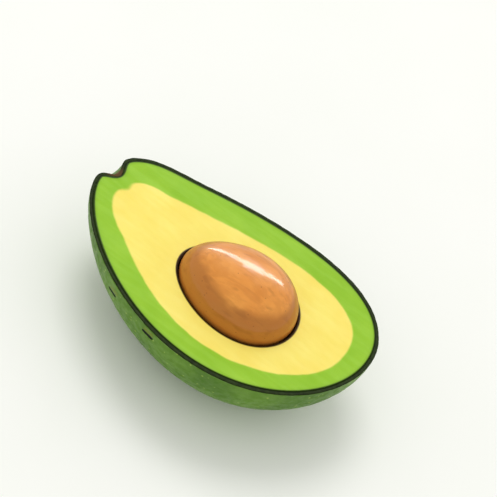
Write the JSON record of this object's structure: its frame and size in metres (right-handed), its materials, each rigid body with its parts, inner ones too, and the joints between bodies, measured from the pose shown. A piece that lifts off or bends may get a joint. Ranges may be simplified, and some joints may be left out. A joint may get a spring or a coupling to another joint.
{
  "type": "avocado half",
  "caption": "Half an avocado cut lengthwise, lying on its back on a small flat spot: green peel, lime to yellow flesh with a level cut face, and a brown pit standing proud.",
  "frame": {"origin": "under the middle of the fruit's bounding box, on the level that the resting spot stands on", "axes": "+X along the fruit from the stem end to the round blossom end, +Z out of the level cut face, and +Y towards the flatter side, where the stem's dimple is; the rounder side is at -Y"},
  "size_m": [0.1098, 0.0686, 0.0491],
  "materials": {
    "peel": "satin",
    "flesh": "satin",
    "pit": "satin"
  },
  "bodies": {
    "root": {"peel": "peel", "flesh": "flesh", "pit": "pit"}
  },
  "joints": []
}
